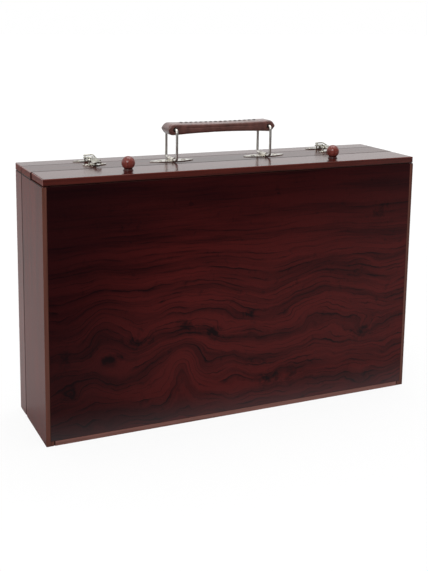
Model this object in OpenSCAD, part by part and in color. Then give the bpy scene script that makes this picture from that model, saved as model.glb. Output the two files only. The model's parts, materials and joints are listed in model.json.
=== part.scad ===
// Artist's brush box: a flat wooden case that stands on its hinge side,
// with a hinged lid behind, a full-width drawer in front, a folding
// carrying handle and two toggle latches on top.
// X runs along the handle, Z is up, and the lid faces +Y.
// The origin is under the middle of the case, on the surface it stands on.

/* [Case] */
// Length of the case, along the handle
case_w = 400; // [360:1:440]
// Depth from the drawer side to the lid side
case_d = 101; // [95:1:110]
// Height of the case without its handle
case_h = 254; // [240:1:280]
// Depth of the drawer front
drawer_d = 41; // [38:0.5:44]
// Depth of the lid
lid_d = 24; // [22:0.5:28]

/* [Boards] */
// Thickness of the side boards
side_t = 8; // [7:0.5:9]
// Thickness of the two rails and the drawer front on top
rail_t = 7; // [6.5:0.5:8]
// Thickness of the rails that hold the hinges
hinge_rail_t = 12; // [11.5:0.5:14]
// Thickness of the plywood panels let into the frames
panel_t = 3.5; // [3:0.5:4]
// Width of the frame edge that shows round a panel
lip = 4; // [3:0.5:4.5]
// Thickness of the drawer's sides and back
drawer_t = 6; // [5:0.5:7]
// Thickness of the shelf, the drawer's bottom and the dividers
thin_t = 3; // [2.5:0.5:3.5]

/* [Handle] */
// Distance between the two wire loops
loop_span = 104; // [98:1:106]
// Height from a loop's lower bar to its upper bar
loop_h = 30.5; // [28:0.5:34]
// Width of a loop across its two legs, centre to centre
loop_w = 28.4; // [26:0.2:30]
// Diameter of the loop wire
wire_d = 2.6; // [2.2:0.1:2.8]
// Length of the leather grip
grip_l = 118; // [117:1:124]
// Width of the leather grip
grip_w = 20; // [16:0.5:21]

/* [Fittings] */
// Distance between the two latches
latch_span = 264; // [250:1:280]
// Distance between the two drawer knobs
knob_span = 224; // [200:1:236]
// Diameter of a knob's ball
knob_d = 13; // [11:0.5:14]
// Distance between the two hinges
hinge_span = 260; // [200:1:290]
// Number of brush notches in a rest
notch_count = 8; // [4:1:8]

/* [Hidden] */
$fn = 48;

// Finishes as the photograph shows them
stain = "#4a1c17";
stain_edge = "#6b2b22";
plywood = "#3a1312";
bare_wood = "#c9a36f";
nickel = "#c9c8c4";
leather = "#6e3a34";

// Planes of the case
x_side = case_w / 2;
x_in = x_side - side_t;
y_front = -case_d / 2;
y_back = case_d / 2;
y_drawer = y_front + drawer_d;
y_seam = y_back - lid_d;
lid_gap = 0.5;
drawer_gap = 0.8;
y_case = y_seam - lid_gap / 2;
y_lid = y_seam + lid_gap / 2;
y_rail = y_drawer + drawer_gap / 2;
z_rail = case_h - rail_t;
z_lip = lip + 0.8;
z_lid_top = case_h - lip + 0.5;
groove = 3;
over = 1;

// Shelf between the drawer and the tray above it
y_shelf = y_rail + 3.1;
y_tray = y_shelf + thin_t;
tray_h = 24;
tongue = 2;

// Tray dividers and brush rests
z_divider = 150;
divider_t = 4;
small_divider_x = 64;
rest_x = 116;
rest_t = 8;
rest_h = 16;
notch_r = 5;
notch_pitch = 16;

// Hinges: barrel and pin lie in the seam, just clear of the standing face
hinge_z = 2.8;
ease = 3.4;
barrel_r = 2.3;
barrel_room = 0.4;
pin_r = 0.9;
pin_play = 0.06;
leaf_l = 45;
leaf_t = 1.1;
leaf_top = 11.6;
knuckle_gap = 0.3;
leaf_screw_z = 8.6;
leaf_screw_x = 14;
x_hinge = hinge_span / 2;
knuckle_len = leaf_l / 5;

// Screws, each as its length, its head's radius and its shank's radius
handle_screw = [6, 2.8, 1.3];
base_screw = [6, 1.9, 0.9];
strike_screw = [5, 1.9, 0.9];
hinge_screw = [9, 1.9, 0.9];
screw_play = 0.05;
screw_tip = 2;
dome_h = 0.45;
plate_t = 0.8;

// Handle
y_handle = y_rail + 17.8;
x_loop = loop_span / 2;
wire_r = wire_d / 2;
z_pivot = case_h + 2;
z_bar = z_pivot + loop_h;
bend = 3;
pivot_play = 0.08;
open_play = 0.4;
eye = [48, 15];
eye_screw_x = 13;
knuckle_r = 2;
knuckle_l = 13;
grip_end_r = 5.8;
grip_mid_t = 7.6;

// Latches, measured from the case top and from the seam
x_latch = latch_span / 2;
y_pin = y_seam - 9.5;
z_pin = case_h + 3.6;
latch_pin_r = 0.6;
ear_in = 2.95;
ear_out = 3.6;
ear_r = 1.8;
cheek_in = 1.9;
cheek_out = 2.6;
crank_y = 3;
crank_z = 0.5;
bail_r = 0.7;
bail_w = 9.3;
bail_reach_y = 16.5;
bail_rise = 2.9;
bail_bend = 1.2;
y_hook = y_seam + 1.9;
hook_w = 9.2;
hook_r = 1.8;
hook_t = 0.9;
base_y = y_seam - 16;
base_wing = [25, 9];
base_screw_x = 7.6;
bill_tip_y = y_seam - 29.5;
strike_y = y_seam + 8.6;
strike_wing = [30, 9.5];
strike_screw_x = 9;

// Drawer
x_drawer = x_in - 1;
y_drawer_low = y_front + panel_t + 0.4;
y_drawer_high = y_drawer - drawer_gap / 2 - 0.5;
z_drawer_back = hinge_rail_t + 1.5;
z_drawer_front = z_rail + 0.3;
front_inset = 0.8;
y_drawer_floor = y_drawer_low + 2;
drawer_divider_x = 62;
y_knob = y_front + 19.5;
x_knob = knob_span / 2;
knob_bore_r = 1.65;

// A box given by its lowest and highest corners
module block(low, high) {
    translate(low) cube(high - low);
}

// A board of the left side, shown on the right when mirrored
module on_side(side) {
    if (side > 0) mirror([1, 0, 0]) children();
    else children();
}

// A prism of a Y-Z outline, from x0 to x1
module along_x(x0, x1) {
    translate([x0, 0, 0]) rotate([90, 0, 90]) linear_extrude(x1 - x0) children();
}

// A round bar between two X values
module bar_x(x0, x1, y, z, r) {
    translate([x0, y, z]) rotate([0, 90, 0]) cylinder(h = x1 - x0, r = r);
}

// A round bar between two Y values
module bar_y(y0, y1, x, z, r) {
    translate([x, y1, z]) rotate([90, 0, 0]) cylinder(h = y1 - y0, r = r);
}

// The eased corners along the seam, which let the lid swing down to a stop
module seam_ease() {
    along_x(-x_side - over, x_side + over)
        polygon([[y_seam - ease, 0], [y_seam, ease], [y_seam + ease, 0],
                 [y_seam + ease, -over], [y_seam - ease, -over]]);
}

// A raised countersunk wood screw, its head's rim on z = 0
module wood_screw(size, play = 0) {
    length = size[0];
    head_r = size[1];
    shank_r = size[2];
    sink = head_r - shank_r;
    rotate_extrude()
        polygon([[0, -length], [shank_r + play, screw_tip - length], [shank_r + play, -sink],
                 [head_r + play, 0], [head_r * 0.6, dome_h * 0.8], [0, dome_h]]);
}

// The room that a screw needs in the wood and the metal, open at the top
module screw_room(size) {
    wood_screw(size, screw_play);
    cylinder(h = 2, r = size[1] + screw_play);
}

// Pointed oval in the X-Y plane, the outline of stamped fittings
module pointed_oval(size) {
    length = size[0];
    width = size[1];
    blunt = 1.6;
    arc_r = (length * length + width * width) / (4 * width);
    intersection() {
        translate([0, arc_r - width / 2]) circle(r = arc_r, $fn = 180);
        translate([0, width / 2 - arc_r]) circle(r = arc_r, $fn = 180);
        square([length - blunt, width], center = true);
    }
}

// A closed rectangular wire loop in the X-Y plane, from y = 0 to y = reach
module wire_loop(width, reach, r, corner) {
    half = width / 2;
    bar_x(-half + corner, half - corner, 0, 0, r);
    bar_x(-half + corner, half - corner, reach, 0, r);
    for (s = [-1, 1]) {
        bar_y(corner, reach - corner, s * half, 0, r);
    }
    turns = [[-1, 0, 180], [1, 0, 270], [1, 1, 0], [-1, 1, 90]];
    for (t = turns) {
        translate([t[0] * (half - corner), t[1] == 0 ? corner : reach - corner, 0])
            rotate([0, 0, t[2]])
            rotate_extrude(angle = 90)
            translate([corner, 0]) circle(r = r, $fn = 32);
    }
}

// Case boards

// Side board: let in at the front for the bottom panel, grooved for the shelf
module side_board(side) {
    on_side(side) difference() {
        block([-x_side, y_front, 0], [-x_in, y_case, z_rail]);
        block([lip - x_side, y_front - over, z_lip], [over - x_in, y_front + panel_t, z_rail + over]);
        block([-x_in - groove, y_shelf, hinge_rail_t - groove],
              [over - x_in, y_tray, z_rail + over]);
        seam_ease();
    }
}

module side_left() {
    color(stain) side_board(-1);
}

module side_right() {
    color(stain) side_board(1);
}

// Top rail of the case, which carries the handle and the latches
module front_rail() {
    color(stain) difference() {
        block([-x_side, y_rail, z_rail], [x_side, y_case, case_h]);
        block([-x_in - groove, y_shelf, z_rail - over], [x_in + groove, y_tray, z_rail + tongue]);
        handle_screw_spots() screw_room(handle_screw);
        latch_base_spots() screw_room(base_screw);
    }
}

// Board that the case stands on, with the hinge leaves let into its edge
module hinge_rail() {
    color(stain) difference() {
        block([-x_in, y_front, 0], [x_in, y_case, hinge_rail_t]);
        block([-x_in - over, y_front - over, z_lip],
              [x_in + over, y_front + panel_t, hinge_rail_t + over]);
        block([-x_in - over, y_shelf, hinge_rail_t - groove],
              [x_in + over, y_tray, hinge_rail_t + over]);
        seam_ease();
        hinge_rooms(-1);
    }
}

module bottom_panel() {
    color(plywood)
        block([lip - x_side, y_front, z_lip], [x_side - lip, y_front + panel_t, z_rail]);
}

module shelf() {
    color(bare_wood)
        block([-x_in - groove, y_shelf, hinge_rail_t - groove],
              [x_in + groove, y_tray, z_rail + tongue]);
}

// Tray above the shelf: one long divider, two short ones and two brush rests

module tray_divider() {
    color(bare_wood)
        block([-x_in, y_tray, z_divider], [x_in, y_tray + tray_h, z_divider + divider_t]);
}

module small_divider(side) {
    on_side(side)
        block([-small_divider_x - divider_t / 2, y_tray, z_divider + divider_t],
              [divider_t / 2 - small_divider_x, y_tray + tray_h, z_rail]);
}

module small_divider_left() {
    color(bare_wood) small_divider(-1);
}

module small_divider_right() {
    color(bare_wood) small_divider(1);
}

// A strip across the tray with a row of half-round notches for brush handles
module brush_rest(side) {
    z_mid = (hinge_rail_t + z_divider) / 2;
    y_top = y_tray + rest_h;
    on_side(side) difference() {
        block([-rest_x - rest_t / 2, y_tray, hinge_rail_t],
              [rest_t / 2 - rest_x, y_top, z_divider]);
        for (i = [0:notch_count - 1]) {
            z_notch = z_mid + (i - (notch_count - 1) / 2) * notch_pitch;
            bar_x(-rest_x - rest_t, rest_t - rest_x, y_top, z_notch, notch_r);
        }
    }
}

module brush_rest_left() {
    color(bare_wood) brush_rest(-1);
}

module brush_rest_right() {
    color(bare_wood) brush_rest(1);
}

// Hinges

// Room for both leaves' plates and barrels in one rail: side -1 case, +1 lid
module hinge_rooms(side) {
    for (s = [-1, 1]) {
        x0 = s * x_hinge - leaf_l / 2;
        bar_x(x0 - barrel_room, x0 + leaf_l + barrel_room, y_seam, hinge_z,
              barrel_r + barrel_room);
        leaf_plate(x0, side, 0);
        leaf_screw_spots(s, side) screw_room(hinge_screw);
    }
}

// The flat part of a leaf, from under the barrel's room to its inner edge
module leaf_plate(x0, side, z_cut) {
    y_face = side < 0 ? y_case : y_lid;
    y_deep = y_face + side * leaf_t;
    block([x0, min(y_face, y_deep), hinge_z + z_cut],
          [x0 + leaf_l, max(y_face, y_deep), leaf_top]);
}

// Puts the children, pointing up, on each screw's place in a leaf
module leaf_screw_spots(s, side) {
    for (t = [-1, 1]) {
        translate([s * x_hinge + t * leaf_screw_x, side < 0 ? y_case : y_lid, leaf_screw_z])
            rotate([side * 90, 0, 0]) children();
    }
}

// One leaf: its plate, and the knuckles that its webs join to it
module hinge_leaf(s, side) {
    x0 = s * x_hinge - leaf_l / 2;
    turns = side < 0 ? [0, 2, 4] : [1, 3];
    trim = side < 0 ? 0 : knuckle_gap;
    bore_r = side < 0 ? pin_r : pin_r + pin_play;
    difference() {
        union() {
            leaf_plate(x0, side, barrel_r + barrel_room);
            for (i = turns) {
                x_low = x0 + i * knuckle_len + trim;
                x_high = x0 + (i + 1) * knuckle_len - trim;
                bar_x(x_low, x_high, y_seam, hinge_z, barrel_r);
                y_face = side < 0 ? y_case : y_lid;
                y_deep = y_face + side * leaf_t;
                block([x_low, min(y_face, y_deep), hinge_z],
                      [x_high, max(y_face, y_deep), hinge_z + barrel_r + barrel_room]);
            }
        }
        bar_x(x0 - over, x0 + leaf_l + over, y_seam, hinge_z, bore_r);
        leaf_screw_spots(s, side) screw_room(hinge_screw);
    }
}

module hinge_leaf_case_left() {
    color(nickel) hinge_leaf(-1, -1);
}

module hinge_leaf_case_right() {
    color(nickel) hinge_leaf(1, -1);
}

module hinge_leaf_lid_left() {
    color(nickel) hinge_leaf(-1, 1);
}

module hinge_leaf_lid_right() {
    color(nickel) hinge_leaf(1, 1);
}

module hinge_pin(s) {
    bar_x(s * x_hinge - leaf_l / 2, s * x_hinge + leaf_l / 2, y_seam, hinge_z, pin_r);
}

module hinge_pin_left() {
    color(nickel) hinge_pin(-1);
}

module hinge_pin_right() {
    color(nickel) hinge_pin(1);
}

module hinge_screws(side) {
    for (s = [-1, 1]) {
        leaf_screw_spots(s, side) flush_screw(hinge_screw);
    }
}

// A flat countersunk screw, its head level with z = 0
module flush_screw(size) {
    intersection() {
        wood_screw(size);
        translate([0, 0, -size[0] - over]) cylinder(h = size[0] + over, r = size[1] + over);
    }
}

module hinge_case_screws() {
    color(nickel) hinge_screws(-1);
}

module hinge_lid_screws() {
    color(nickel) hinge_screws(1);
}

// Lid

module lid_side(side) {
    on_side(side) difference() {
        block([-x_side, y_lid, 0], [-x_in, y_back, z_rail]);
        block([lip - x_side, y_back - panel_t, z_lip], [over - x_in, y_back + over, z_rail + over]);
        seam_ease();
    }
}

module lid_side_left() {
    color(stain) lid_side(-1);
}

module lid_side_right() {
    color(stain) lid_side(1);
}

module lid_front_rail() {
    color(stain) difference() {
        block([-x_side, y_lid, z_rail], [x_side, y_back, case_h]);
        block([lip - x_side, y_back - panel_t, z_rail - over],
              [x_side - lip, y_back + over, z_lid_top]);
        latch_strike_spots() screw_room(strike_screw);
    }
}

module lid_hinge_rail() {
    color(stain) difference() {
        block([-x_in, y_lid, 0], [x_in, y_back, hinge_rail_t]);
        block([-x_in - over, y_back - panel_t, z_lip],
              [x_in + over, y_back + over, hinge_rail_t + over]);
        seam_ease();
        hinge_rooms(1);
    }
}

module lid_panel() {
    color(plywood)
        block([lip - x_side, y_back - panel_t, z_lip],
              [x_side - lip, y_back, z_lid_top]);
}

// Handle

// Puts the children on each screw's place in the two handle plates
module handle_screw_spots() {
    for (s = [-1, 1], t = [-1, 1]) {
        translate([s * x_loop + t * eye_screw_x, y_handle, case_h + plate_t]) children();
    }
}

// Stamped plate, rolled up in the middle into a tube for the loop's lower bar
module handle_plate(s) {
    difference() {
        union() {
            translate([s * x_loop, y_handle, case_h])
                linear_extrude(plate_t) pointed_oval(eye);
            bar_y(y_handle - knuckle_l / 2, y_handle + knuckle_l / 2,
                  s * x_loop, z_pivot, knuckle_r);
        }
        bar_y(y_handle - loop_w, y_handle + loop_w, s * x_loop, z_pivot, wire_r + pivot_play);
        handle_screw_spots() screw_room(handle_screw);
    }
}

module handle_plate_left() {
    color(nickel) handle_plate(-1);
}

module handle_plate_right() {
    color(nickel) handle_plate(1);
}

module handle_screws() {
    color(nickel) handle_screw_spots() wood_screw(handle_screw);
}

// Rectangular wire loop that stands between a plate and the grip
module handle_loop(s) {
    translate([s * x_loop, y_handle, z_pivot])
        rotate([90, 0, 90]) wire_loop(loop_w, loop_h, wire_r, bend);
}

module loop_left() {
    color(nickel) handle_loop(-1);
}

module loop_right() {
    color(nickel) handle_loop(1);
}

// Side outline of the grip: round ends, hollowed below and a little above
module grip_profile() {
    x_end = grip_l / 2 - grip_end_r;
    steps = 16;
    lift = 0.6;
    under = grip_end_r - grip_mid_t / 2 + lift;
    above = grip_end_r - grip_mid_t / 2 - lift;
    for (s = [-1, 1]) {
        translate([s * x_end, 0]) circle(r = grip_end_r);
    }
    polygon(concat(
        [for (i = [0:steps])
            let (a = 180 * i / steps)
            [x_end * cos(a), grip_end_r - above * pow(sin(a), 2)]],
        [for (i = [0:steps])
            let (a = 180 * i / steps)
            [-x_end * cos(a), under * pow(sin(a), 2) - grip_end_r]]));
}

// Cross-section of the grip, with well rounded edges
module grip_section() {
    edge = 3;
    half_w = grip_w / 2 - edge;
    half_h = grip_end_r - edge;
    for (s = [-1, 1], t = [-1, 1]) {
        translate([s * half_w, t * half_h]) circle(r = edge);
    }
    square([grip_w, 2 * half_h], center = true);
    square([2 * half_w, 2 * grip_end_r], center = true);
}

// Stitched leather grip, rolled round the upper bars of both loops
module grip() {
    color(leather) difference() {
        intersection() {
            translate([0, y_handle + grip_w / 2, z_bar])
                rotate([90, 0, 0]) linear_extrude(grip_w) grip_profile();
            translate([0, y_handle, z_bar])
                along_x(-grip_l / 2, grip_l / 2) grip_section();
        }
        bar_y(y_handle - grip_w, y_handle + grip_w, -x_loop, z_bar, wire_r + pivot_play);
        bar_y(y_handle - grip_w, y_handle + grip_w, x_loop, z_bar, wire_r + open_play);
    }
}

// Latches

// Puts the children on each screw's place in the two latch bases
module latch_base_spots() {
    for (s = [-1, 1], t = [-1, 1]) {
        translate([s * x_latch + t * base_screw_x, base_y, case_h + plate_t]) children();
    }
}

// Puts the children on each screw's place in the two strikes
module latch_strike_spots() {
    for (s = [-1, 1], t = [-1, 1]) {
        translate([s * x_latch + t * strike_screw_x, strike_y, case_h + plate_t]) children();
    }
}

// Winged base plate with two upright ears for the lever's pin
module latch_base(s) {
    tongue_back = 6;
    tongue_front = 3;
    difference() {
        union() {
            translate([s * x_latch, 0, case_h]) linear_extrude(plate_t) {
                translate([0, base_y]) pointed_oval(base_wing);
                translate([-ear_out, base_y - tongue_back])
                    square([2 * ear_out, y_pin + tongue_front - base_y + tongue_back]);
            }
            for (t = [-1, 1]) {
                x_low = s * x_latch + (t < 0 ? -ear_out : ear_in);
                along_x(x_low, x_low + ear_out - ear_in) {
                    translate([y_pin, z_pin]) circle(r = ear_r);
                    translate([y_pin - ear_r, case_h]) square([2 * ear_r, z_pin - case_h]);
                }
            }
        }
        bar_x(s * x_latch - ear_out - over, s * x_latch + ear_out + over, y_pin, z_pin,
              latch_pin_r);
        latch_base_spots() screw_room(base_screw);
    }
}

module latch_base_left() {
    color(nickel) latch_base(-1);
}

module latch_base_right() {
    color(nickel) latch_base(1);
}

module latch_pin(s) {
    bar_x(s * x_latch - ear_out, s * x_latch + ear_out, y_pin, z_pin, latch_pin_r);
}

module latch_pin_left() {
    color(nickel) latch_pin(-1);
}

module latch_pin_right() {
    color(nickel) latch_pin(1);
}

// Duck-billed lever: two cheeks on the pin, and a bill that lies over the base
module latch_lever(s) {
    bill_r = 4.4;
    bill_y = bill_tip_y + bill_r;
    taper_y = bill_tip_y + 12;
    neck_y = bill_tip_y + 17;
    end_y = y_pin + 2;
    lever_h = 12;
    translate([s * x_latch, 0, 0]) difference() {
        union() {
            intersection() {
                along_x(-bill_r, bill_r) bill_strip();
                translate([0, 0, case_h]) linear_extrude(lever_h) {
                    translate([0, bill_y]) circle(r = bill_r);
                    for (t = [-1, 1]) {
                        polygon([[0, bill_y], [t * bill_r, bill_y], [t * bill_r, taper_y],
                                 [t * cheek_out, neck_y], [t * cheek_out, end_y], [0, end_y]]);
                    }
                }
            }
            for (t = [-1, 1]) {
                x_low = t < 0 ? -cheek_out : cheek_in;
                along_x(x_low, x_low + cheek_out - cheek_in) {
                    translate([y_pin, z_pin]) circle(r = 1.6);
                    translate([y_pin - crank_y, z_pin + crank_z]) circle(r = 1.5);
                    polygon([[y_pin - 4.4, z_pin + 0.6], [y_pin - 3, z_pin - 0.9],
                             [y_pin, z_pin - 1.5], [y_pin + 1.5, z_pin + 0.6],
                             [y_pin + 1.5, z_pin + 2], [y_pin - 5, z_pin + 2]]);
                }
            }
        }
        bar_x(-ear_out, ear_out, y_pin, z_pin, latch_pin_r + pivot_play);
        bar_x(-ear_out, ear_out, y_pin - crank_y, z_pin + crank_z, bail_r + pivot_play);
    }
}

// Side view of the bill: level over the pin, dipping, and turned up at its tip
module bill_strip() {
    bill_t = 0.8;
    path = [[y_pin + 1.6, z_pin + 1.9], [y_pin - 4, z_pin + 1.9], [y_pin - 9, z_pin + 0.4],
            [y_pin - 14, z_pin - 0.9], [bill_tip_y + 3, z_pin - 0.8], [bill_tip_y, z_pin + 0.5]];
    polygon(concat(path, [for (i = [len(path) - 1:-1:0]) path[i] + [0, bill_t]]));
}

module latch_lever_left() {
    color(nickel) latch_lever(-1);
}

module latch_lever_right() {
    color(nickel) latch_lever(1);
}

// Wire bail: its near bar turns in the lever, its far bar lies over the hook
module latch_bail(s) {
    reach = sqrt(bail_reach_y * bail_reach_y + bail_rise * bail_rise);
    translate([s * x_latch, y_pin - crank_y, z_pin + crank_z])
        rotate([atan2(bail_rise, bail_reach_y), 0, 0])
        wire_loop(bail_w, reach, bail_r, bail_bend);
}

module latch_bail_left() {
    color(nickel) latch_bail(-1);
}

module latch_bail_right() {
    color(nickel) latch_bail(1);
}

// Winged strike, its front edge turned up and back into a hook with two holes
module latch_strike(s) {
    z_curl = case_h + 3.6;
    hole_r = 1.2;
    hole_x = 2.3;
    hole_drop = 0.9;
    translate([s * x_latch, 0, 0]) difference() {
        union() {
            translate([0, 0, case_h]) linear_extrude(plate_t) {
                translate([0, strike_y]) pointed_oval(strike_wing);
                translate([-hook_w / 2, y_hook]) square([hook_w, strike_y - y_hook]);
            }
            along_x(-hook_w / 2, hook_w / 2) {
                translate([y_hook, case_h]) square([hook_t, z_curl - case_h]);
                intersection() {
                    difference() {
                        translate([y_hook + hook_r, z_curl]) circle(r = hook_r);
                        translate([y_hook + hook_r, z_curl]) circle(r = hook_r - hook_t);
                    }
                    translate([y_hook, z_curl]) square([2 * hook_r, hook_r]);
                }
            }
        }
        for (t = [-1, 1]) {
            bar_y(y_hook - over, y_hook + hook_t + over, t * hole_x, z_curl - hole_drop, hole_r);
        }
        translate([-s * x_latch, 0, 0]) latch_strike_spots() screw_room(strike_screw);
    }
}

module latch_strike_left() {
    color(nickel) latch_strike(-1);
}

module latch_strike_right() {
    color(nickel) latch_strike(1);
}

module latch_base_screws() {
    color(nickel) latch_base_spots() wood_screw(base_screw);
}

module latch_strike_screws() {
    color(nickel) latch_strike_spots() wood_screw(strike_screw);
}

// Drawer

module drawer_front() {
    y_high = y_drawer - drawer_gap / 2;
    color(stain) difference() {
        block([front_inset - x_side, y_front, z_drawer_front],
              [x_side - front_inset, y_high, case_h]);
        block([-x_drawer + groove, y_drawer_floor, z_drawer_front - over],
              [x_drawer - groove, y_drawer_floor + thin_t, z_drawer_front + tongue]);
        for (s = [-1, 1]) {
            translate([s * x_knob, y_knob, z_rail]) cylinder(h = rail_t + over, r = knob_bore_r);
        }
    }
}

module drawer_side(side) {
    on_side(side) difference() {
        block([-x_drawer, y_drawer_low, z_drawer_back],
              [drawer_t - x_drawer, y_drawer_high, z_drawer_front]);
        block([groove - x_drawer, y_drawer_floor, z_drawer_back + groove],
              [drawer_t - x_drawer + over, y_drawer_floor + thin_t, z_drawer_front + over]);
    }
}

module drawer_side_left() {
    color(bare_wood) drawer_side(-1);
}

module drawer_side_right() {
    color(bare_wood) drawer_side(1);
}

module drawer_back() {
    color(bare_wood) difference() {
        block([drawer_t - x_drawer, y_drawer_low, z_drawer_back],
              [x_drawer - drawer_t, y_drawer_high, z_drawer_back + drawer_t]);
        block([-x_drawer, y_drawer_floor, z_drawer_back + groove],
              [x_drawer, y_drawer_floor + thin_t, z_drawer_back + drawer_t + over]);
    }
}

module drawer_bottom() {
    color(bare_wood)
        block([groove - x_drawer, y_drawer_floor, z_drawer_back + groove],
              [x_drawer - groove, y_drawer_floor + thin_t, z_drawer_front + tongue]);
}

module drawer_divider(side) {
    on_side(side)
        block([-drawer_divider_x - divider_t / 2, y_drawer_floor + thin_t, z_drawer_back + drawer_t],
              [divider_t / 2 - drawer_divider_x, y_drawer_high - 4, z_drawer_front]);
}

module drawer_divider_left() {
    color(bare_wood) drawer_divider(-1);
}

module drawer_divider_right() {
    color(bare_wood) drawer_divider(1);
}

// Turned knob: a ball on a short flared neck, bored for its screw
module knob(s) {
    ball_r = knob_d / 2;
    neck_r = 4;
    neck_h = 2.6;
    foot_r = 4.9;
    bore_h = 8;
    ball_z = neck_h + sqrt(ball_r * ball_r - neck_r * neck_r) - 0.4;
    translate([s * x_knob, y_knob, case_h]) difference() {
        union() {
            translate([0, 0, ball_z]) sphere(r = ball_r, $fn = 64);
            rotate_extrude()
                polygon([[0, 0], [foot_r, 0], [foot_r - 0.2, 0.7], [neck_r, 1.5],
                         [neck_r, neck_h], [0, neck_h]]);
        }
        translate([0, 0, -over]) cylinder(h = bore_h + over, r = knob_bore_r);
    }
}

module knob_left() {
    color(stain_edge) knob(-1);
}

module knob_right() {
    color(stain_edge) knob(1);
}

// Round-headed screws that hold the knobs from inside the drawer
module knob_screws() {
    head_h = 2;
    head_r = 3.4;
    shank_r = knob_bore_r - screw_play;
    shank_h = 14;
    for (s = [-1, 1]) {
        color(nickel) translate([s * x_knob, y_knob, z_drawer_front]) rotate_extrude()
            polygon([[0, -head_h], [0.6 * head_r, -head_h], [head_r, -0.4 * head_h],
                     [head_r, 0], [shank_r, 0], [shank_r, shank_h], [0, shank_h + 0.5]]);
    }
}

side_left();
side_right();
front_rail();
hinge_rail();
bottom_panel();
shelf();
tray_divider();
small_divider_left();
small_divider_right();
brush_rest_left();
brush_rest_right();
hinge_leaf_case_left();
hinge_leaf_case_right();
hinge_pin_left();
hinge_pin_right();
hinge_case_screws();
handle_plate_left();
handle_plate_right();
handle_screws();
latch_base_left();
latch_base_right();
latch_pin_left();
latch_pin_right();
latch_base_screws();
lid_side_left();
lid_side_right();
lid_front_rail();
lid_hinge_rail();
lid_panel();
hinge_leaf_lid_left();
hinge_leaf_lid_right();
hinge_lid_screws();
latch_strike_left();
latch_strike_right();
latch_strike_screws();
drawer_front();
drawer_side_left();
drawer_side_right();
drawer_back();
drawer_bottom();
drawer_divider_left();
drawer_divider_right();
knob_left();
knob_right();
knob_screws();
loop_left();
loop_right();
grip();
latch_lever_left();
latch_lever_right();
latch_bail_left();
latch_bail_right();
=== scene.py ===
# %% [markdown]
# A flat wooden artist's case with a drawer in front, a lid behind and a carrying handle on top.
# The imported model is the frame: it says where every piece is. This script gives each piece its
# finish, in metres and in the same frame, and changes no size.

# %% Load the frame
import json
import math

import bmesh
import bpy
from mathutils import Matrix, Vector, noise


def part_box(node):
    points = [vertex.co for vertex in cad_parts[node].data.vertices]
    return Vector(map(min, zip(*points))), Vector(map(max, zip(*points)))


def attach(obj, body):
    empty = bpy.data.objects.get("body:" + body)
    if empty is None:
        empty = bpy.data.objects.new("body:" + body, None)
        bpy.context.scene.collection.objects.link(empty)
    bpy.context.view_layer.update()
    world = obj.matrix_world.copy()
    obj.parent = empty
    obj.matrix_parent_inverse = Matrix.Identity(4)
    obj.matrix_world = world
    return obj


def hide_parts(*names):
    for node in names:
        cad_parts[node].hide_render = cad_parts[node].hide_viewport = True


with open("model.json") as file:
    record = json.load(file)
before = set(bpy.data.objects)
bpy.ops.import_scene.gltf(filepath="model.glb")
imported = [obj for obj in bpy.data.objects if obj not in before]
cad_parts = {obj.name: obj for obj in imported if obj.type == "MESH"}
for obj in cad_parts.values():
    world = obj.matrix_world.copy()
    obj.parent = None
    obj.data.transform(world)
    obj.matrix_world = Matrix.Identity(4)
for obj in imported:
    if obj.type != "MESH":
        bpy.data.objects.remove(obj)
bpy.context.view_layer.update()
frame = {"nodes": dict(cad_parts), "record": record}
MM = 0.001
QUARTER = math.radians(90)
SIDES = ("left", "right")

# %% [markdown]
# The camera comes first. A pinhole camera was fitted to the corners of the case in the picture, so
# its place is given by the angles it looks at and by where the case's front corner lies from it.
# The optical axis isn't in the middle of the picture: a small vertical shift takes that up.

# %% Camera
IMAGE_H = 571
FOCAL_PX = 967.4
AXIS_ROW = 180
AZIMUTH, ELEVATION, ROLL = math.radians(-24.73), math.radians(10.145), math.radians(0.812)
CORNER_SEEN = Vector((25.68, -237.44, -984.34)) * MM
SENSOR = 36

front_corner = Vector((0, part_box("drawer_front")[0].y, 0))
right = Vector((math.cos(AZIMUTH), math.sin(AZIMUTH), 0))
back = Vector((math.sin(AZIMUTH) * math.cos(ELEVATION), -math.cos(AZIMUTH) * math.cos(ELEVATION),
               math.sin(ELEVATION)))
up = back.cross(right)
turned_right = right * math.cos(ROLL) + up * math.sin(ROLL)
turned_up = up * math.cos(ROLL) - right * math.sin(ROLL)
axes = Matrix((turned_right, turned_up, back)).transposed()

camera = bpy.data.objects.new("camera", bpy.data.cameras.new("camera"))
camera.data.sensor_width = SENSOR
camera.data.lens = SENSOR * FOCAL_PX / IMAGE_H
camera.data.shift_y = (AXIS_ROW - IMAGE_H / 2) / IMAGE_H
camera.data.clip_end = 20
camera.matrix_world = Matrix.Translation(front_corner - axes @ CORNER_SEEN) @ axes.to_4x4()
bpy.context.scene.collection.objects.link(camera)
bpy.context.scene.camera = camera
print("camera at", [round(c, 3) for c in camera.location])

# %% [markdown]
# Three small helpers serve every finish. Colours are picked as sRGB hex values, as on a screen, and
# the renderer works in linear light, so one function turns them. One function adds a node: an input
# that is given a socket, or a node for its first output, is linked, and any other value is set.

# %% Helpers for colours and nodes


def linear(hex_colour):
    """Linear RGBA from an sRGB colour such as #4a1c17."""
    parts = [int(hex_colour[i:i + 2], 16) / 255 for i in (1, 3, 5)]
    return tuple(c / 12.92 if c <= 0.04045 else ((c + 0.055) / 1.055) ** 2.4 for c in parts) + (1,)


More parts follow.
